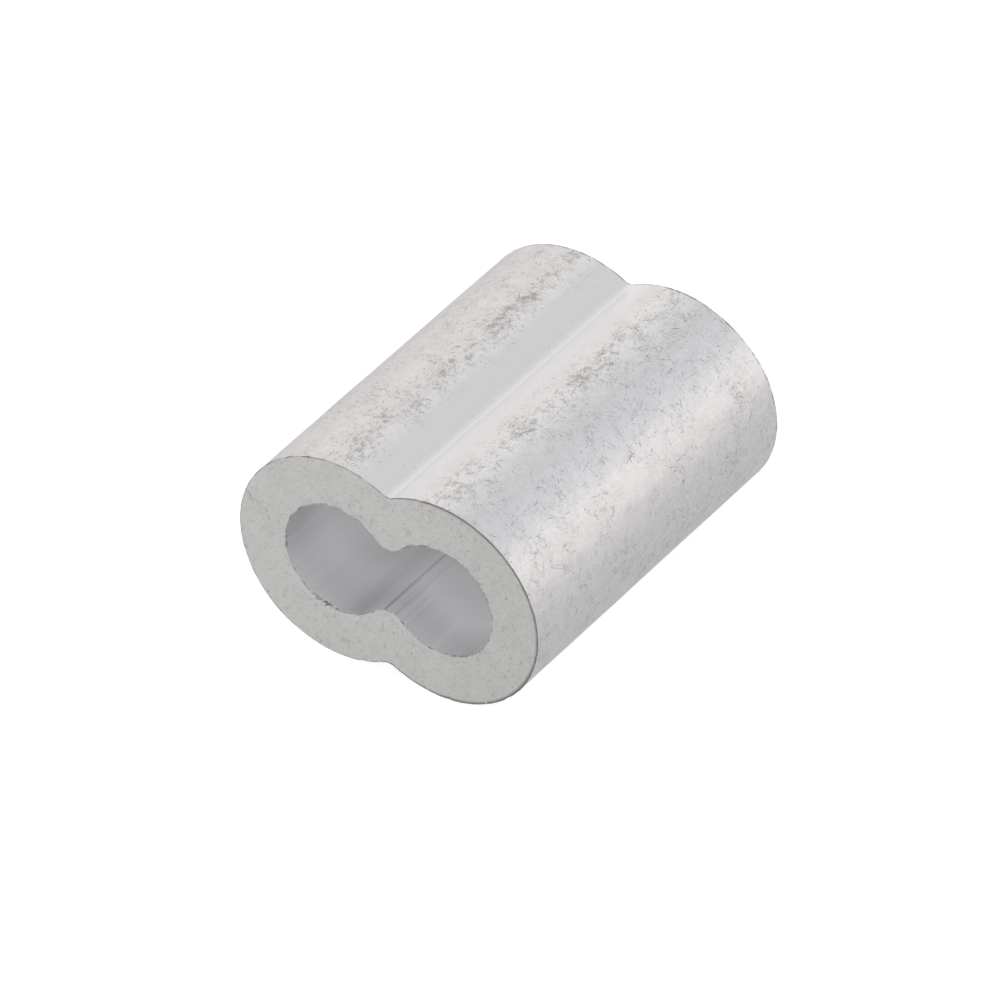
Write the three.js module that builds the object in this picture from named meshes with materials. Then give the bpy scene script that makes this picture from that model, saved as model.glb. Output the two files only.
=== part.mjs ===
// Figure-eight ferrule for wire rope, before pressing: a short length of extruded aluminium bar.
// The rope's standing part lies in one bore, its tail in the other, and a press squeezes the lobes flat.
//
// Frame: millimetres, +Z up. The bores run along Y, the lobes lie side by side along X, and the
// origin is the ferrule's centre: mid-way between the bores and half-way along its length.

import * as THREE from "three";

// The rope, and the room it has in a bore.
const ropeDiameter = 10;
const boreClearance = 1;
const ropeGap = 0.7; // between the two ropes, side by side

// The bar that the ferrule is sawn from.
const wall = 5; // from bore to outside, the same all round a lobe
const ribRadius = 2; // rounded rib that stands between the bores, above and below
const valleyRadius = 1.2; // fillet where the lobes meet outside
const sleeveLength = 38;
const edgeBreak = 0.15; // chamfer that tumbling leaves on the sawn edges

const boreRadius = (ropeDiameter + boreClearance) / 2;
const lobeRadius = boreRadius + wall;
const halfSpacing = (ropeDiameter + ropeGap) / 2; // from the middle to a bore's axis

const facetAngle = THREE.MathUtils.degToRad(6);

// Points along an arc about (x, z), from one angle to another, with both ends.
function arc(x, z, radius, from, to) {
  const curve = new THREE.EllipseCurve(x, z, radius, radius, from, to, to < from);
  const facets = Math.ceil(Math.abs(to - from) / facetAngle);
  return curve.getPoints(facets);
}

// Two round lobes side by side, joined above and below by an arc that is tangent to both. The
// quarter from a lobe's side to the middle of that arc is drawn once and mirrored, anticlockwise.
function figureEight(radius, blendRadius) {
  const blendHeight = Math.sqrt((radius + blendRadius) ** 2 - halfSpacing ** 2);
  const tangent = Math.atan2(blendHeight, halfSpacing);
  const quarter = [
    ...arc(halfSpacing, 0, radius, 0, Math.PI / 2),
    ...arc(halfSpacing, 0, radius, Math.PI / 2, Math.PI - tangent).slice(1),
    ...arc(0, blendHeight, blendRadius, -tangent, -Math.PI / 2).slice(1),
  ];
  const mirrored = (points, x, z) => points.map((p) => new THREE.Vector2(p.x * x, p.y * z));
  const back = [...quarter].reverse();
  return [
    ...quarter,
    ...mirrored(back, -1, 1).slice(1),
    ...mirrored(quarter, -1, -1).slice(1),
    ...mirrored(back, 1, -1).slice(1, -1),
  ];
}

// The bar's section, cut to length: the outline and the bores both open out by the edge break.
function sleeveGeometry() {
  const section = new THREE.Shape(figureEight(lobeRadius, valleyRadius));
  section.holes.push(new THREE.Path(figureEight(boreRadius, ribRadius)));
  const bar = new THREE.ExtrudeGeometry(section, {
    depth: sleeveLength - 2 * edgeBreak,
    bevelThickness: edgeBreak,
    bevelSize: edgeBreak,
    bevelOffset: -edgeBreak,
    bevelSegments: 1,
  });
  // The section was drawn flat: stand it up, so that the bar runs along Y about the origin.
  bar.translate(0, 0, edgeBreak - sleeveLength / 2);
  bar.rotateX(Math.PI / 2);
  return bar;
}

const aluminium = new THREE.MeshStandardMaterial({
  name: "aluminium",
  color: 0xd6d4d3,
  roughness: 0.45,
  metalness: 0.9,
});

const sleeve = new THREE.Mesh(sleeveGeometry(), aluminium);
sleeve.name = "sleeve";

const ferrule = new THREE.Group();
ferrule.name = "ferrule";
ferrule.add(sleeve);

export default ferrule;
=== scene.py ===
import math

import bpy
from mathutils import Matrix, Vector


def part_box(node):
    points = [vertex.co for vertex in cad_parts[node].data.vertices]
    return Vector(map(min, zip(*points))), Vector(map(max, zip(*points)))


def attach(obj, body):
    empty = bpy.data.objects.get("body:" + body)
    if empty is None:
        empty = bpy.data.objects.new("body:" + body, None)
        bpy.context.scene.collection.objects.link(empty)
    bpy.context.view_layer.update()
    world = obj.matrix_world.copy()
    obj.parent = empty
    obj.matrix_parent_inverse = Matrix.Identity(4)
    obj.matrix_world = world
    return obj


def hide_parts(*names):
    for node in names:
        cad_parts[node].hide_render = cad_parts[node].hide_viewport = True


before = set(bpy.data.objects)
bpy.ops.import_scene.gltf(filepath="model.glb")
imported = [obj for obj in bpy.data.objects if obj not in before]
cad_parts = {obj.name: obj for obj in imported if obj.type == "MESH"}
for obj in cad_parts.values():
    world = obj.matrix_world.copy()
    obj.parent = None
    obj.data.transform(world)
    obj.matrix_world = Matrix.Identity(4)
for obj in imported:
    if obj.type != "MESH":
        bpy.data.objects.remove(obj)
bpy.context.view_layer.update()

# ---------------------------------------------------------------------------------------------
# The sleeve, which is the whole ferrule: soft aluminium, extruded through a figure-eight die
# with a mandrel for the bores, sawn to length and tumbled in a barrel with its fellows. The die
# leaves fine lines along it, the saw a matt end with a thin burr, and the barrel rubs its crowns.

MM = 0.001
low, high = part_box("sleeve")
LENGTH = high.y - low.y
LOBE_RADIUS = (high.z - low.z) / 2
LOBE_OFFSET = (high.x - low.x) / 2 - LOBE_RADIUS
WALL = 5 * MM
RIB_RADIUS = 2 * MM
VALLEY_RADIUS = 1.2 * MM
EDGE_RADIUS = 0.08 * MM


class Wire:
    """A number on its way between nodes. Sums and products of wires add Math nodes to the tree."""

    def __init__(self, tree, socket):
        self.tree, self.socket = tree, socket

    def math(self, operation, *others):
        node = self.tree.nodes.new("ShaderNodeMath")
        node.operation = operation
        for slot, value in zip(node.inputs, (self, *others)):
            plug(self.tree, value, slot)
        return Wire(self.tree, node.outputs[0])

    def __add__(self, other):
        return self.math("ADD", other)

    def __sub__(self, other):
        return self.math("SUBTRACT", other)

    def __rsub__(self, other):
        return (self * -1).math("ADD", other)

    def __mul__(self, other):
        return self.math("MULTIPLY", other)

    def __truediv__(self, other):
        return self.math("DIVIDE", other)

    __radd__, __rmul__ = __add__, __mul__

    def clamped(self):
        return self.math("MAXIMUM", 0).math("MINIMUM", 1)

    def step(self, start, end):
        """0 up to start, 1 from end on, and smooth between them; either may be the larger."""
        ramp = add_node(self.tree, "ShaderNodeMapRange", interpolation_type="SMOOTHSTEP")
        for name, value in zip(("Value", "From Min", "From Max"), (self, start, end)):
            plug(self.tree, value, ramp.inputs[name])
        return Wire(self.tree, ramp.outputs["Result"])

    def bell(self, middle, width):
        """1 at the middle, falling off to nothing at a few widths from it."""
        away = (self - middle) / width
        return (away * away * -1).math("EXPONENT")


def plug(tree, value, slot):
    """Joins a wire or a socket to an input, or sets the input to a plain value."""
    if isinstance(value, Wire):
        tree.links.new(value.socket, slot)
    elif isinstance(value, bpy.types.NodeSocket):
        tree.links.new(value, slot)
    else:
        slot.default_value = value


def add_node(tree, kind, inputs=(), **settings):
    """A new node with those settings, its inputs given as pairs of name or place and value."""
    node = tree.nodes.new(kind)
    for name, value in settings.items():
        setattr(node, name, value)
    for slot, value in dict(inputs).items():
        plug(tree, value, node.inputs[slot])
    return node


def combine(tree, x, y, z):
    """A vector from three numbers."""
    return add_node(tree, "ShaderNodeCombineXYZ", {0: x, 1: y, 2: z}).outputs[0]


def scaled(tree, vector, factor):
    """A vector times a number, or times another vector."""
    operation, slot = ("MULTIPLY", 1) if isinstance(factor, tuple) else ("SCALE", "Scale")
    node = add_node(tree, "ShaderNodeVectorMath", {0: vector, slot: factor}, operation=operation)
    return node.outputs[0]


# The tree that extrudes and saws the bar. The wall's surface is four zones, each a grid that is
# bent to its place by rule, and each starting where the one before it ends: the outer skin from
# back to front, the front face inwards, the bores' skin from front to back, and the back face.
blank = bpy.data.node_groups.new("extruded_and_sawn", "GeometryNodeTree")
blank.is_modifier = True
blank.interface.new_socket("Sleeve", in_out="OUTPUT", socket_type="NodeSocketGeometry")
SIZES = {
    "Length": LENGTH,
    "Lobe Radius": LOBE_RADIUS,
    "Lobe Offset": LOBE_OFFSET,
    "Wall": WALL,
    "Rib Radius": RIB_RADIUS,
    "Valley Radius": VALLEY_RADIUS,
    "Edge Radius": EDGE_RADIUS,
    "Waviness": 0.12 * MM,
    "Dent Depth": 0.05 * MM,
    "Nick Depth": 0.45 * MM,
    "Saw Relief": 0.015 * MM,
    "Ragged Depth": 0.2 * MM,
    "Die Line Depth": 0.02 * MM,
}
COUNTS = {"Columns": 480, "Skin Rows": 104, "Bore Rows": 40, "Face Rings": 14, "Seed": 5}
ROLL_ROWS = 3  # rows that turn round an edge
for name in SIZES:
    blank.interface.new_socket(name, in_out="INPUT", socket_type="NodeSocketFloat")
for name in COUNTS:
    blank.interface.new_socket(name, in_out="INPUT", socket_type="NodeSocketInt")
group_input = blank.nodes.new("NodeGroupInput")
size = {name: Wire(blank, group_input.outputs[name]) for name in (*SIZES, *COUNTS)}

position = blank.nodes.new("GeometryNodeInputPosition").outputs[0]
grid_place = add_node(blank, "ShaderNodeSeparateXYZ", {0: position})
turn = Wire(blank, grid_place.outputs[0]) + 0.5  # 0 to 1 round the section, from its lower valley
down = Wire(blank, grid_place.outputs[1]) + 0.5  # 0 to 1 from a zone's first row to its last
quarter = 1 - (turn * 4).math("PINGPONG", 1)  # 0 at a lobe's side, 1 at the valley
side = (0.5 - turn).math("SIGN")
height = (0.25 - (turn - 0.5).math("ABSOLUTE")).math("SIGN")
LOBE_SHARE = 0.93  # of a quarter's columns, the rest going to the blend between the lobes


class Outline:
    """Two round lobes and the arcs that blend them, grown or shrunk by an offset."""

    def __init__(self, radius, blend):
        self.radius, self.blend = radius, blend
        reach = radius + blend
        self.blend_height = (reach * reach - size["Lobe Offset"] * size["Lobe Offset"]).math("SQRT")
        self.tangent = self.blend_height.math("ARCTAN2", size["Lobe Offset"])
        self.lobe_sweep = math.pi - self.tangent
        self.blend_sweep = math.pi / 2 - self.tangent
        self.on_lobe = (quarter / LOBE_SHARE).math("MINIMUM", 1)
        self.on_blend = ((quarter - LOBE_SHARE) / (1 - LOBE_SHARE)).math("MAXIMUM", 0)
        self.past_lobe = quarter.math("GREATER_THAN", LOBE_SHARE)

    def place(self, offset):
        """x and z of the outline moved out by the offset."""
        lobe_angle = self.on_lobe * self.lobe_sweep
        blend_angle = (self.tangent + self.on_blend * self.blend_sweep) * -1
        lobe, blend = self.radius + offset, self.blend - offset
        lobe_x = size["Lobe Offset"] + lobe * lobe_angle.math("COSINE")
        lobe_z = lobe * lobe_angle.math("SINE")
        blend_x = blend * blend_angle.math("COSINE")
        blend_z = self.blend_height + blend * blend_angle.math("SINE")
        x = lobe_x + self.past_lobe * (blend_x - lobe_x)
        z = lobe_z + self.past_lobe * (blend_z - lobe_z)
        return x * side, z * height

    def run(self):
        """Length along the outline from the lower valley, in metres."""
        lobe_length = self.radius * self.lobe_sweep
        whole = lobe_length + self.blend * self.blend_sweep
        from_side = self.on_lobe * lobe_length + self.on_blend * (whole - lobe_length)
        lobes_passed = turn.math("GREATER_THAN", 0.5) * 2 + 1
        return whole * lobes_passed + from_side * side * height


def rows(count, towards):
    """y and inset of a skin's rows: round one edge, straight along, and round the other edge."""
    edge = size["Edge Radius"]
    row = down * (count + 2 * ROLL_ROWS)
    first = ((ROLL_ROWS - row) / ROLL_ROWS).clamped() * (math.pi / 2)
    last = ((row - count - ROLL_ROWS) / ROLL_ROWS).clamped() * (math.pi / 2)
    along = ((row - ROLL_ROWS) / count).clamped() * -2 + 1
    crowded = along * (1 + CROWDING) - along * along * along * CROWDING
    y = (size["Length"] / 2 - edge) * crowded + edge * (first.math("SINE") - last.math("SINE"))
    inset = edge * (2 - first.math("COSINE") - last.math("COSINE"))
    return y * towards, inset


def keep(mesh, name, value, data_type="FLOAT", domain="POINT"):
    """The mesh with the value stored on it under that name."""
    inputs = {"Geometry": mesh, "Name": name, "Value": value}
    store = add_node(blank, "GeometryNodeStoreNamedAttribute", inputs,
                     data_type=data_type, domain=domain)
    return store.outputs[0]


SKIN, FRONT, BORE, BACK = range(4)
SHEET = 92  # mm across the sheet on which all four zones lie unrolled, side by side
PLACE_ON_SHEET = {SKIN: (0.5, 20), BORE: (0.5, 60), FRONT: (75.5, 51), BACK: (75.5, 73)}
CROWDING = 0.3  # how much closer rows lie at the edges than half-way between them


def zone(number, row_count, x, y, z, unrolled, run, through, from_edge):
    """One of the four grids. Each point keeps its distance round the outline and from the nearest
    edge, how far through the wall it is, and its place on an unrolled map, all in millimetres."""
    counts = {"Vertices X": size["Columns"] + 1, "Vertices Y": row_count + 1}
    grid = add_node(blank, "GeometryNodeMeshGrid", counts)
    mesh = keep(grid.outputs[0], "zone", number, "INT", "FACE")
    mesh = keep(mesh, "run", run / MM)
    mesh = keep(mesh, "through", through / MM)
    mesh = keep(mesh, "from_edge", from_edge / MM)
    u, v = unrolled[0] / MM, unrolled[1] / MM
    mesh = keep(mesh, "unrolled", combine(blank, u, v, 0.0), "FLOAT2", "CORNER")
    shift = PLACE_ON_SHEET[number]
    on_sheet = combine(blank, (u + shift[0]) / SHEET, (v + shift[1]) / SHEET, 0.0)
    mesh = keep(mesh, "OFBake", on_sheet, "FLOAT2", "CORNER")
    bent = {"Geometry": mesh, "Position": combine(blank, x, y, z)}
    return add_node(blank, "GeometryNodeSetPosition", bent).outputs[0]


outside = Outline(size["Lobe Radius"], size["Valley Radius"])
inside = Outline(size["Lobe Radius"] - size["Wall"], size["Rib Radius"])

skin_y, skin_inset = rows(size["Skin Rows"], 1)
skin_x, skin_z = outside.place(skin_inset * -1)
skin_edge = size["Length"] / 2 - skin_y.math("ABSOLUTE")
around_skin = outside.run()
skin = zone(SKIN, size["Skin Rows"] + 2 * ROLL_ROWS, skin_x, skin_y, skin_z, (around_skin, skin_y),
            around_skin, skin_inset, skin_edge)

bore_y, bore_inset = rows(size["Bore Rows"], -1)
bore_x, bore_z = inside.place(bore_inset)
bore_edge = size["Length"] / 2 - bore_y.math("ABSOLUTE")
around_bore = inside.run()
bore = zone(BORE, size["Bore Rows"] + 2 * ROLL_ROWS, bore_x, bore_y, bore_z, (around_bore, bore_y),
            around_bore, size["Wall"] - bore_inset, bore_edge)

outer_x, outer_z = outside.place(size["Edge Radius"] * -1)
inner_x, inner_z = inside.place(size["Edge Radius"])
centred = down * 2 - 1
inwards = (centred * (1 + CROWDING) - centred * centred * centred * CROWDING) / 2 + 0.5
faces = []
for number, end, share in ((FRONT, -0.5, inwards), (BACK, 0.5, 1 - inwards)):
    face_x = outer_x + (inner_x - outer_x) * share
    face_z = outer_z + (inner_z - outer_z) * share
    face_edge = share.math("MINIMUM", 1 - share) * size["Wall"] + size["Edge Radius"] * 0.5
    around_face = around_skin + (around_bore - around_skin) * share
    face_through = share * (size["Wall"] - size["Edge Radius"] * 2) + size["Edge Radius"]
    faces.append(zone(number, size["Face Rings"], face_x, size["Length"] * end, face_z,
                      (face_x, face_z), around_face, face_through, face_edge))

joined = blank.nodes.new("GeometryNodeJoinGeometry")
for part in (skin, faces[0], bore, faces[1]):
    blank.links.new(part, joined.inputs[0])
whole = add_node(blank, "GeometryNodeMergeByDistance",
                 {"Geometry": joined.outputs[0], "Distance": 0.002 * MM})

# What the barrel, the saw and the die do to it: every change goes inwards, so it keeps its size.
seed = size["Seed"]
place = scaled(blank, position, 1 / MM)
normal = blank.nodes.new("GeometryNodeInputNormal").outputs[0]


def kept(name, data_type="FLOAT"):
    """What keep stored on the mesh under that name."""
    node = add_node(blank, "GeometryNodeInputNamedAttribute", {"Name": name}, data_type=data_type)
    return Wire(blank, node.outputs[0])


def parts_of(tree, vector):
    """The three numbers of a vector, or the three channels of a colour."""
    split = add_node(tree, "ShaderNodeSeparateXYZ", {0: vector})
    return [Wire(tree, output) for output in split.outputs]


def noise(tree, vector, scale, detail=2.0, seed_value=0.0, roughness=0.5):
    """Cloudy noise about 0.5. The scale is how many clouds there are to a unit of the vector."""
    inputs = {"Vector": vector, "W": seed_value, "Scale": scale,
              "Detail": detail, "Roughness": roughness}
    return Wire(tree, add_node(tree, "ShaderNodeTexNoise", inputs, noise_dimensions="4D").outputs[0])


def hollows(cell, radius, share, number):
    """Round hollows of about that radius in a share of the cells, each of its own depth."""
    inputs = {"Vector": place, "W": seed * 3.1 + number, "Scale": 1 / cell}
    cells = add_node(blank, "ShaderNodeTexVoronoi", inputs, voronoi_dimensions="4D")
    distance = Wire(blank, cells.outputs["Distance"]) * cell
    chance = parts_of(blank, cells.outputs["Color"])
    return distance.step(radius, radius * 0.2) * chance[0].math("LESS_THAN", share) * chance[1]


run, through, edge_distance = kept("run"), kept("through"), kept("from_edge")
across_x, along_y, up_z = parts_of(blank, place)
on_face = parts_of(blank, normal)[1].math("ABSOLUTE").step(0.6, 0.95)
waves = noise(blank, scaled(blank, place, (1.0, 0.35, 1.0)), 0.35, 1.0, seed) * size["Waviness"]
dents = hollows(2.4, 1.1, 0.5, 0) * size["Dent Depth"] * (1 - on_face)
inner_rim = through.step(4.0, 4.6)
battered = across_x.bell(-6.8, 1.2) * up_z.bell(-5.2, 1.2) * along_y.step(-18, -18.6)
chip_share = 0.14 * (1 - inner_rim) * along_y.step(0, -1)
bites = noise(blank, place, 1.5, 3.0, seed + 9, 0.75).step(0.44, 0.52) * battered.step(0.3, 0.6)
chips = hollows(0.7, 0.36, chip_share, 1).math("MAXIMUM", bites) * edge_distance.step(0.4, 0.1)
ragged = noise(blank, combine(blank, run, 0.0, 0.0), 2.4, 2.0, seed + 3, 0.7).step(0.45, 0.75)
ragged = ragged * edge_distance.step(0.25, 0.05) * (0.2 + 0.8 * inner_rim)
relief = noise(blank, place, 1.6, 3.0, seed) * on_face * size["Saw Relief"]
drawn = noise(blank, combine(blank, run, along_y * 0.01, 0.0), 1.1, 3.0, seed + 7, 0.6)
die_lines = drawn * (1 - on_face) * edge_distance.step(0, 0.5) * size["Die Line Depth"]
edge_wear = chips * size["Nick Depth"] + ragged * size["Ragged Depth"]
offset = scaled(blank, normal, (waves + dents + edge_wear + relief + die_lines) * -1)
chipped = keep(whole.outputs[0], "chipped", chips)
worn = add_node(blank, "GeometryNodeSetPosition", {"Geometry": chipped, "Offset": offset})
smooth = add_node(blank, "GeometryNodeSetShadeSmooth", {"Geometry": worn.outputs[0]})
realized = add_node(blank, "GeometryNodeRealizeInstances", {"Geometry": smooth.outputs[0]})
blank_mesh = realized.outputs[0]


def tint(*srgb):
    """A colour given as it looks, from 0 to 255, in the linear values that a shader reads."""
    linear = [c / 255 / 12.92 if c <= 10 else ((c / 255 + 0.055) / 1.055) ** 2.4 for c in srgb]
    return (*linear, 1.0)


def finish(name, metallic=1.0):
    """A new material, its tree and its shader."""
    material = bpy.data.materials.new(name)
    material.use_nodes = True
    shader = material.node_tree.nodes["Principled BSDF"]
    shader.inputs["Metallic"].default_value = metallic
    return material, material.node_tree, shader


def on_surface(tree, name):
    """A number that the mesh keeps at each point."""
    return Wire(tree, add_node(tree, "ShaderNodeAttribute", attribute_name=name).outputs["Fac"])


def blend(tree, share, first, second):
    """The first colour where the share is 0, the second where it is 1."""
    return add_node(tree, "ShaderNodeMix", {0: share, 6: first, 7: second}, data_type="RGBA").outputs[2]


def flat_cells(tree, flat, cell, x, y):
    """A flat map in millimetres, counted in cells, and a random pattern of those cells."""
    moved = add_node(tree, "ShaderNodeVectorMath", {0: flat, 1: (x, y, 0.0)}, operation="ADD")
    spread = scaled(tree, moved.outputs[0], 1 / cell)
    inputs = {"Vector": spread, "Scale": 1.0}
    return spread, add_node(tree, "ShaderNodeTexVoronoi", inputs, voronoi_dimensions="2D")


def scratches(tree, flat, cell, length, width, share, number, bend=0.5):
    """Curved scratches on a flat map, one to a cell at most, each at its own angle and of its own
    strength: up to 1 along the middle of a scratch and 0 off it. Sizes are in millimetres."""
    spread, cells = flat_cells(tree, flat, cell, number * 37.3, number * 11.7)
    away = add_node(tree, "ShaderNodeVectorMath", {0: spread, 1: cells.outputs["Position"]},
                    operation="SUBTRACT")
    x, y = parts_of(tree, scaled(tree, away.outputs[0], cell))[:2]
    angle, bow, chance = parts_of(tree, cells.outputs["Color"])
    cosine, sine = (angle * math.tau).math("COSINE"), (angle * math.tau).math("SINE")
    along = x * cosine + y * sine
    across = y * cosine - x * sine + along * along * (bow - 0.5) * (bend / length)
    strength = ((share - chance) * 2.5).clamped()
    half = (bow * 0.35 + 0.15) * length
    along = along.math("ABSOLUTE")
    taper = (1 - along / half).math("MAXIMUM", 0)
    line = (1 - across.math("ABSOLUTE") / (taper * width + 0.001)).math("MAXIMUM", 0)
    return line.step(0, 0.8) * taper.math("GREATER_THAN", 0) * strength


def specks(tree, flat, cell, radius, share, number):
    """Round specks on a flat map, one to a cell at most."""
    cells = flat_cells(tree, flat, cell, number * 23.1, number * 5.3)[1]
    chance = parts_of(tree, cells.outputs["Color"])
    size_here = chance[1] * (radius / cell)
    spot = Wire(tree, cells.outputs["Distance"]).step(size_here + 0.02, size_here * 0.6)
    return spot * chance[0].math("LESS_THAN", share)


def bump(tree, shader, height, depth):
    """Relief that is too fine for the mesh: the height is about 0 to 1, the depth in metres."""
    node = add_node(tree, "ShaderNodeBump", {"Strength": 1.0, "Distance": depth, "Height": height})
    tree.links.new(node.outputs[0], shader.inputs["Normal"])


# Tumbled skin. The crowns of the two lobes take the knocks, so that they are rubbed to a mottled
# grey-green; the flanks of the valley are out of reach and stay clean. Its base colour also carries
# painted highlights, painted shade and painted reflection tints in bands along the upper side.
finishes = {}
finishes["tumbled_skin"], tree, shader = finish("tumbled_skin")
flat = add_node(tree, "ShaderNodeUVMap", uv_map="unrolled").outputs[0]
spot = scaled(tree, tree.nodes.new("ShaderNodeTexCoord").outputs["Object"], 1 / MM)
x, y, z = parts_of(tree, spot)
reach = x.math("ABSOLUTE")
crown = reach.bell(5.35, 1.9)
open_side = reach.step(1.6, 4.4)
clouds = noise(tree, spot, 0.3, 2.0, 3.0)
patchy = clouds.step(0.36, 0.6)
clusters = noise(tree, spot, 0.7, 4.0, 12.0, 0.65).step(0.42, 0.62)
gusts = noise(tree, spot, 0.9, 4.0, 17.0, 0.65).step(0.44, 0.62)
exposed = open_side * (0.42 + 0.58 * patchy)
rubbed_grain = noise(tree, scaled(tree, spot, (1.0, 0.75, 1.0)), 1.7, 7.0, 8.0, 0.74)
rubbed = (rubbed_grain - 0.6 + crown * (0.08 + 0.07 * patchy)).step(0.0, 0.13) * open_side
smear = noise(tree, spot, 1.6, 7.0, 15.0, 0.82).step(0.47, 0.62)
smear = smear * exposed * (0.35 + 0.65 * clusters)
share = exposed * (0.1 + 0.55 * clusters) + crown * 0.35
fine = scratches(tree, flat, 0.42, 0.65, 0.065, share, 1, 1.0)
share = exposed * (0.06 + 0.65 * gusts) + crown * 0.25
other = scratches(tree, flat, 0.55, 0.8, 0.07, share, 9, 1.2)
share = exposed * (0.12 + 0.5 * clusters) + crown * 0.2
medium = scratches(tree, flat, 0.95, 1.5, 0.08, share, 2, 1.0)
share = exposed * (0.15 + 0.5 * gusts)
more = scratches(tree, flat, 1.3, 2.0, 0.075, share, 3, 1.0)
long = scratches(tree, flat, 3.4, 5.5, 0.06, exposed * 0.6, 4)
pits = specks(tree, flat, 0.8, 0.09, exposed * 0.3 + 0.02, 5)
die = noise(tree, combine(tree, on_surface(tree, "run"), y * 0.006, 0.0), 2.6, 4.0, 1.0, 0.65)
haze = noise(tree, spot, 0.9, 4.0, 6.0, 0.6)
grain = noise(tree, spot, 6.0, 4.0, 2.0, 0.75)
# Painted highlights and painted shade: bands along the upper side, lighter where the valley and the
# soft boxes' highlights fall and darker between them, given as where across they are, how wide, and how
# much lighter or darker.
upper_side = z.step(0, 1)
painted_light_bands = x.bell(0.8, 0.8) * 0.12
for middle, width, lighter in ((5.2, 1.5, 0.1), (12.8, 0.8, 0.06), (-4.2, 0.8, 0.07),
                               (8.7, 1.0, -0.05), (-9.2, 1.3, -0.05)):
    painted_light_bands = painted_light_bands + x.bell(middle, width) * lighter
# The tone takes the painted highlights and shade of the bands, with the real die lines, haze and grain.
tone = 1 + painted_light_bands * upper_side + (die - 0.5) * 0.09
tone = tone + (haze - 0.5) * 0.2 * (0.15 + open_side) + (grain - 0.5) * (0.24 + 0.4 * exposed)
# Painted highlight and painted reflection tints: the clean metal is warmer where the warm soft boxes'
# highlights fall on the upper side, and cooler in a band on the right lobe where it reflects the cool
# room.
painted_warm_tint = (x.step(-3.2, -4.8) + x.bell(4.6, 1.6)).clamped() * upper_side
clean_colour = blend(tree, painted_warm_tint, tint(223, 222, 221), tint(224, 221, 219))
clean_colour = blend(tree, x.bell(10.6, 1.4) * upper_side, clean_colour, tint(222, 222, 223))
rub_colour = tint(178, 179, 170)
smear_colour = tint(170, 170, 168)
cut_colour = tint(118, 120, 116)
burr_and_shade_colour = tint(120, 112, 106)
colour = blend(tree, rubbed * (0.25 + 0.5 * crown), clean_colour, rub_colour)
colour = blend(tree, smear * 0.5, colour, smear_colour)
cuts = (fine * 0.6).math("MAXIMUM", other * 0.6).math("MAXIMUM", medium * 0.75)
cuts = cuts.math("MAXIMUM", more * 0.6).math("MAXIMUM", long * 0.4)
colour = blend(tree, cuts.math("MAXIMUM", pits * 0.6), colour, cut_colour)
burr_grain = noise(tree, combine(tree, on_surface(tree, "run"), 0.0, 0.0), 0.9, 5.0, 2.0, 0.75)
to_end = on_surface(tree, "from_edge")
# Partly burr and partly painted shade: a thin dark line along the sawn edges, wider at the back end.
burr_and_edge_shade = to_end.step(0.12, 0.04).math("MAXIMUM", to_end.step(0.3, 0.15) * y.step(0, 1))
burr_and_edge_shade = burr_and_edge_shade * burr_grain.step(0.4, 0.6)
colour = blend(tree, burr_and_edge_shade * 0.7, colour, burr_and_shade_colour)
tree.links.new(scaled(tree, colour, tone), shader.inputs["Base Color"])
roughness = 0.42 + 0.08 * exposed + 0.1 * rubbed + (grain - 0.5) * 0.1
tree.links.new(roughness.socket, shader.inputs["Roughness"])
relief = 1 - cuts * 0.6 - rubbed * 0.2 - smear * 0.2 + (grain - 0.5) * 0.4 + (die - 0.5) * 0.4
bump(tree, shader, relief + haze * (0.5 + open_side * 3), 0.02 * MM)

# Sawn ends. The saw leaves them matt and almost even, with fine torn pits, a few hair scratches
# and rubbed-in dirt. A thin dark line runs round both edges, partly the burr where the saw broke out of
# the skin and partly painted shade of the edge, wider on the right-hand side.
finishes["sawn_end"], tree, shader = finish("sawn_end")
flat = add_node(tree, "ShaderNodeUVMap", uv_map="unrolled").outputs[0]
spot = scaled(tree, tree.nodes.new("ShaderNodeTexCoord").outputs["Object"], 1 / MM)
across, _, up = parts_of(tree, spot)
grain = noise(tree, spot, 4.5, 5.0, 1.0, 0.78)
haze = noise(tree, spot, 0.5, 3.0, 4.0, 0.6)
torn = noise(tree, scaled(tree, spot, (1.0, 1.0, 2.0)), 2.2, 6.0, 9.0, 0.8).step(0.5, 0.64)
dirt = noise(tree, spot, 0.4, 2.0, 5.5).step(0.46, 0.6)
smudge = noise(tree, scaled(tree, spot, (1.0, 1.0, 0.8)), 2.2, 6.0, 7.0, 0.75).step(0.54, 0.62)
smudge = smudge * dirt
hairs = scratches(tree, flat, 3.6, 6.0, 0.055, 0.8, 6, 0.3)
ticks = scratches(tree, flat, 0.9, 0.9, 0.08, 0.15 + dirt * 0.45, 7)
pits = specks(tree, flat, 1.7, 0.13, 0.2, 8)
around, through_wall = on_surface(tree, "run"), on_surface(tree, "through")
burr_grain = noise(tree, combine(tree, around, 0.0, 0.0), 0.9, 5.0, 2.0, 0.75)
right_side = across.step(-3.0, 9.0)
# Partly burr and partly painted shade: a thin dark line round the outer edge, wider on the right-hand
# side.
burr_and_edge_shade = through_wall.step(burr_grain * 0.36 + right_side * 0.28, 0.1)
burr_and_edge_shade = burr_and_edge_shade * (burr_grain + right_side * 0.12).step(0.42, 0.56)
lip = across.bell(2.6, 1.6) * up.step(0, 2)
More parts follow.
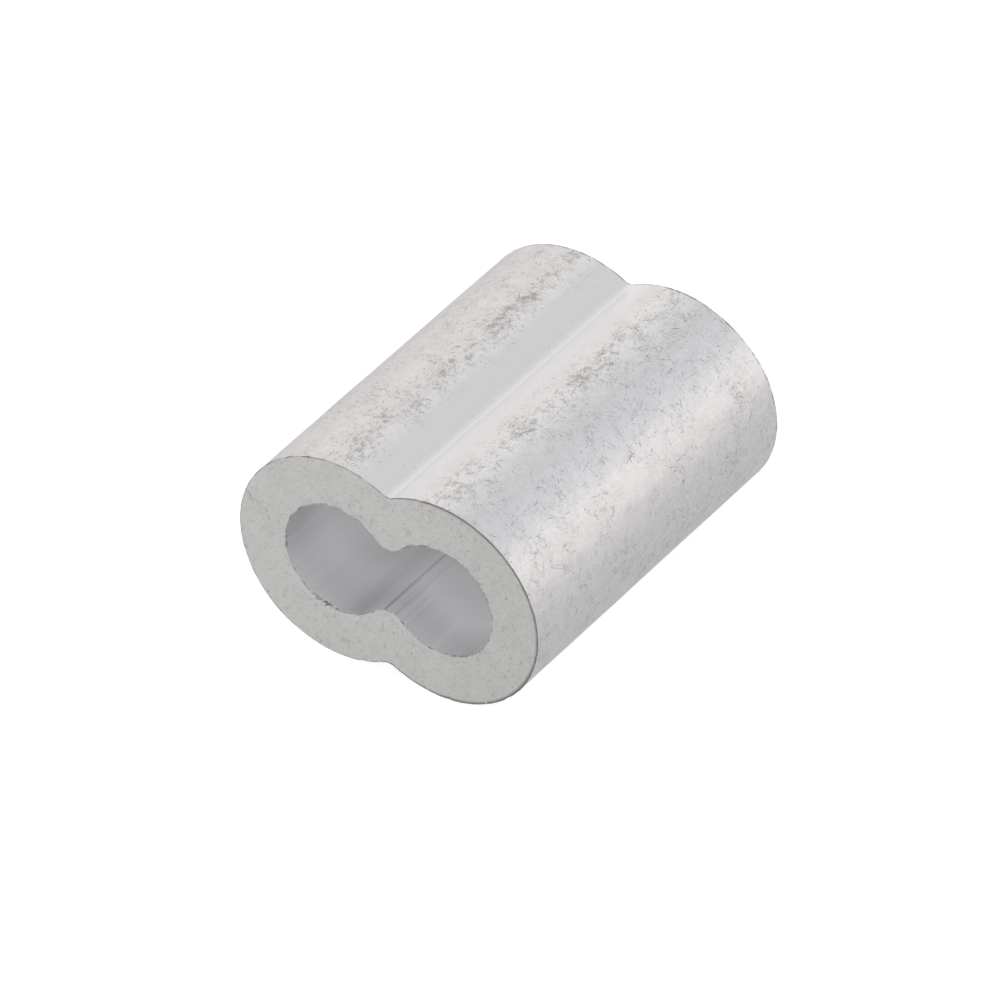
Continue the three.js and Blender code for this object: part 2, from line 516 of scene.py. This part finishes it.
# The same at the inner edge, partly burr and partly painted shade, wider at the ragged lip.
inner_burr_and_shade = through_wall.step(4.76 - lip * 0.12, 4.88) * (burr_grain + lip * 0.1).step(0.52, 0.58)
chipped = on_surface(tree, "chipped").step(0.08, 0.5)
tone = 1 + (grain - 0.5) * 0.44 + (haze - 0.5) * 0.14 - across.step(0, 12) * 0.05
matt_colour = tint(227, 226, 223)
torn_colour = tint(176, 175, 168)
cut_colour = tint(140, 140, 134)
burr_and_shade_colour = tint(112, 104, 98)
colour = blend(tree, torn * 0.28 + smudge * 0.45, matt_colour, torn_colour)
colour = blend(tree, hairs * 0.22 + ticks * 0.42 + pits * 0.5, colour, cut_colour)
edges = (burr_and_edge_shade * 0.8).math("MAXIMUM", inner_burr_and_shade * 0.8).math("MAXIMUM", chipped * 0.75)
colour = blend(tree, edges, colour, burr_and_shade_colour)
tree.links.new(scaled(tree, colour, tone), shader.inputs["Base Color"])
tree.links.new((0.55 + (grain - 0.5) * 0.2).socket, shader.inputs["Roughness"])
height = 1 - torn * 0.4 - pits * 0.6 - hairs * 0.3 - smudge * 0.2 + grain * 0.8
bump(tree, shader, height, 0.022 * MM)

# Drawn bores. The mandrel leaves them smooth, with fine lines from end to end. They are pale and
# hardly metallic, because light that bounces down a metal bore is soon lost. Their tone also carries
# painted shade beside the lower rib, far round and near the rims, and painted light streaks beside the
# rib.
finishes["drawn_bore"], tree, shader = finish("drawn_bore", 0.1)
spot = scaled(tree, tree.nodes.new("ShaderNodeTexCoord").outputs["Object"], 1 / MM)
y = parts_of(tree, spot)[1]
bore_radius = LOBE_RADIUS - WALL
bore_tangent = math.acos(LOBE_OFFSET / (bore_radius + RIB_RADIUS))
bore_arc = bore_radius * (math.pi - bore_tangent)
rib_arc = RIB_RADIUS * (math.pi / 2 - bore_tangent)
half_round = 2 * (bore_arc + rib_arc) / MM
around = on_surface(tree, "run")
around = around - around.math("GREATER_THAN", half_round) * (2 * half_round)  # 0 at the lower rib
from_rim = on_surface(tree, "from_edge")
lines = noise(tree, combine(tree, around, y * 0.004, 0.0), 1.4, 3.0, 3.0, 0.6)
broad = noise(tree, combine(tree, around, y * 0.004, 0.0), 0.3, 1.0, 5.0)
grain = noise(tree, spot, 4.0, 4.0, 2.0, 0.7)
# Painted shade and light: darker bands beside the lower rib and far round to the left, which fade
# deeper in, and light streaks beside the rib.
fading = 0.45 + 0.55 * from_rim.step(9.0, 3.0)
painted_shade_beside_rib = around.bell(-0.45, 0.17) * 0.25 + around.bell(0.75, 0.12) * 0.08
painted_shade_beside_rib = painted_shade_beside_rib + around.bell(-3.8, 2.0) * fading * 0.25
painted_light_streaks = around.bell(1.9, 0.12) * 0.06 + around.bell(2.45, 0.08) * 0.04
painted_light_streaks = painted_light_streaks + around.bell(1.2, 1.0) * 0.05
painted_shade_far_left = around.bell(-16.5, 3.2) * fading * 0.2
tone = 1 + (lines - 0.5) * 0.14 + (broad - 0.5) * 0.25 + (grain - 0.5) * 0.08
tone = tone - painted_shade_beside_rib + painted_light_streaks - painted_shade_far_left
rim_grain = noise(tree, combine(tree, around, 0.0, 0.0), 2.2, 4.0, 6.0, 0.7)
rim = from_rim.step(0.1, 0.03) * rim_grain.step(0.4, 0.5) * 0.45
# Painted shade: darker within a few millimetres of each rim, more so on one side, and in a patch near
# the rim further round.
painted_shade_near_rim = from_rim.step(7.0, 0.5) * 0.15
painted_shade_near_rim = painted_shade_near_rim + from_rim.step(6.5, 1.5) * (0.07 + around.step(-4.0, 0.0) * 0.1)
tone = tone - painted_shade_near_rim - around.bell(9.0, 2.5) * from_rim.step(4.0, 0.0) * 0.1
chipped = on_surface(tree, "chipped").step(0.1, 0.6)
tone = (tone * (1 - rim) * (1 - chipped * 0.7)).math("MINIMUM", 1)
tree.links.new(scaled(tree, tint(253, 253, 253.3)[:3], tone), shader.inputs["Base Color"])
shader.inputs["Roughness"].default_value = 0.5
bump(tree, shader, lines + grain * 0.15, 0.008 * MM)

zone_of = kept("zone", "INT")
FINISH_OF = {SKIN: "tumbled_skin", FRONT: "sawn_end", BORE: "drawn_bore", BACK: "sawn_end"}
for number, name in FINISH_OF.items():
    dressed = add_node(blank, "GeometryNodeSetMaterial",
                       {"Geometry": blank_mesh, "Material": finishes[name]})
    if number != SKIN:  # which goes on everywhere first
        chosen = add_node(blank, "FunctionNodeCompare", {2: zone_of, 3: number},
                          data_type="INT", operation="EQUAL")
        blank.links.new(chosen.outputs[0], dressed.inputs["Selection"])
    blank_mesh = dressed.outputs[0]
group_output = blank.nodes.new("NodeGroupOutput")
blank.links.new(blank_mesh, group_output.inputs[0])

ferrule = bpy.data.objects.new("ferrule", bpy.data.meshes.new("ferrule"))
bpy.context.scene.collection.objects.link(ferrule)
modifier = ferrule.modifiers.new("extruded and sawn", "NODES")
modifier.node_group = blank
for item in blank.interface.items_tree:
    if item.in_out == "INPUT":
        modifier[item.identifier] = {**SIZES, **COUNTS}[item.name]
evaluated = ferrule.evaluated_get(bpy.context.evaluated_depsgraph_get())
mesh = bpy.data.meshes.new_from_object(evaluated)
ferrule.modifiers.clear()
ferrule.data = mesh
mesh.name = "ferrule"
mesh.materials.pop(index=0)  # the grids' own empty slot

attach(ferrule, "root")
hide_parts("sleeve")

# ---------------------------------------------------------------------------------------------
# The studio: a plain white table, two warm soft boxes low behind it, and a pale room all round that
# is slightly cool.

TABLE_REACH = 4.0
GLOW_TO_CAMERA = 0.87
GLOW_TO_METAL = 0.46
around_table = ((-1, -1), (1, -1), (1, 1), (-1, 1))
corners = [(x * TABLE_REACH, y * TABLE_REACH, low.z) for x, y in around_table]
table_mesh = bpy.data.meshes.new("table")
table_mesh.from_pydata(corners, [], [(0, 1, 2, 3)])
table = bpy.data.objects.new("table", table_mesh)
bpy.context.scene.collection.objects.link(table)
paper = bpy.data.materials.new("white_table")
paper.use_nodes = True
lit = paper.node_tree.nodes["Principled BSDF"]
lit.inputs["Base Color"].default_value = (0.25, 0.25, 0.25, 1)
lit.inputs["Roughness"].default_value = 0.9
lit.inputs["Specular IOR Level"].default_value = 0.1
lit.inputs["Emission Color"].default_value = (1, 1, 1, 1)
# The table glows to the eye, so that its shadows stay faint, and less so to the metal on it.
tree = paper.node_tree
seen = Wire(tree, tree.nodes.new("ShaderNodeLightPath").outputs["Is Camera Ray"])
glow = seen * (GLOW_TO_CAMERA - GLOW_TO_METAL) + GLOW_TO_METAL
tree.links.new(glow.socket, lit.inputs["Emission Strength"])
# Seen from below, it is clear, so that the ferrule's underside shows.
below = tree.nodes.new("ShaderNodeNewGeometry").outputs["Backfacing"]
clear = tree.nodes.new("ShaderNodeBsdfTransparent").outputs[0]
one_sided = add_node(tree, "ShaderNodeMixShader", {0: below, 1: lit.outputs[0], 2: clear})
tree.links.new(one_sided.outputs[0], tree.nodes["Material Output"].inputs["Surface"])
table_mesh.materials.append(paper)


def soft_box(name, azimuth, elevation, distance, width, tall, radiance, colour):
    """A rectangular light that faces the ferrule, at that bearing from it (0 is +Y) and height."""
    light = bpy.data.lights.new(name, "AREA")
    light.shape = "RECTANGLE"
    light.size, light.size_y = width, tall
    light.energy = radiance * math.pi * width * tall
    light.color = colour
    lamp = bpy.data.objects.new(name, light)
    bearing, rise = math.radians(azimuth), math.radians(elevation)
    level = math.cos(rise)
    towards = Vector((math.sin(bearing) * level, math.cos(bearing) * level, math.sin(rise)))
    lamp.location = towards * distance
    lamp.rotation_euler = (-towards).to_track_quat("-Z", "Y").to_euler()
    bpy.context.scene.collection.objects.link(lamp)


WARM = (1.0, 0.85, 0.81)
BOX_DISTANCE = 0.8
soft_box("back_left", -42, 15, BOX_DISTANCE, 0.8, 0.6, 0.3, WARM)
soft_box("back_right", 49, 14, BOX_DISTANCE, 0.75, 0.42, 0.48, WARM)
world = bpy.data.worlds.new("room")
world.use_nodes = True
room = world.node_tree.nodes["Background"]
room.inputs["Color"].default_value = (0.96, 0.97, 1.0, 1)
room.inputs["Strength"].default_value = 0.87
bpy.context.scene.world = world
bpy.context.scene.view_settings.view_transform = "Standard"

# The camera stands in front of the right-hand lobe, well back, with a long lens.
AZIMUTH, ELEVATION = math.radians(34.18), math.radians(37.34)
DISTANCE = 1.05
LENS, SENSOR = 428.5, 36
SIDEWAYS, UPWARDS = 0.89 * MM, 2.48 * MM  # how far off the picture's middle the ferrule sits
camera = bpy.data.objects.new("camera", bpy.data.cameras.new("camera"))
camera.data.sensor_width = SENSOR
camera.data.lens = LENS
camera.data.clip_end = 20
level = math.cos(ELEVATION)
back = Vector((math.sin(AZIMUTH) * level, -math.cos(AZIMUTH) * level, math.sin(ELEVATION)))
right = Vector((math.cos(AZIMUTH), math.sin(AZIMUTH), 0))
up = back.cross(right)
axes = Matrix((right, up, back)).transposed()
camera.location = back * DISTANCE - right * SIDEWAYS - up * UPWARDS
camera.rotation_euler = axes.to_euler()
bpy.context.scene.collection.objects.link(camera)
bpy.context.scene.camera = camera
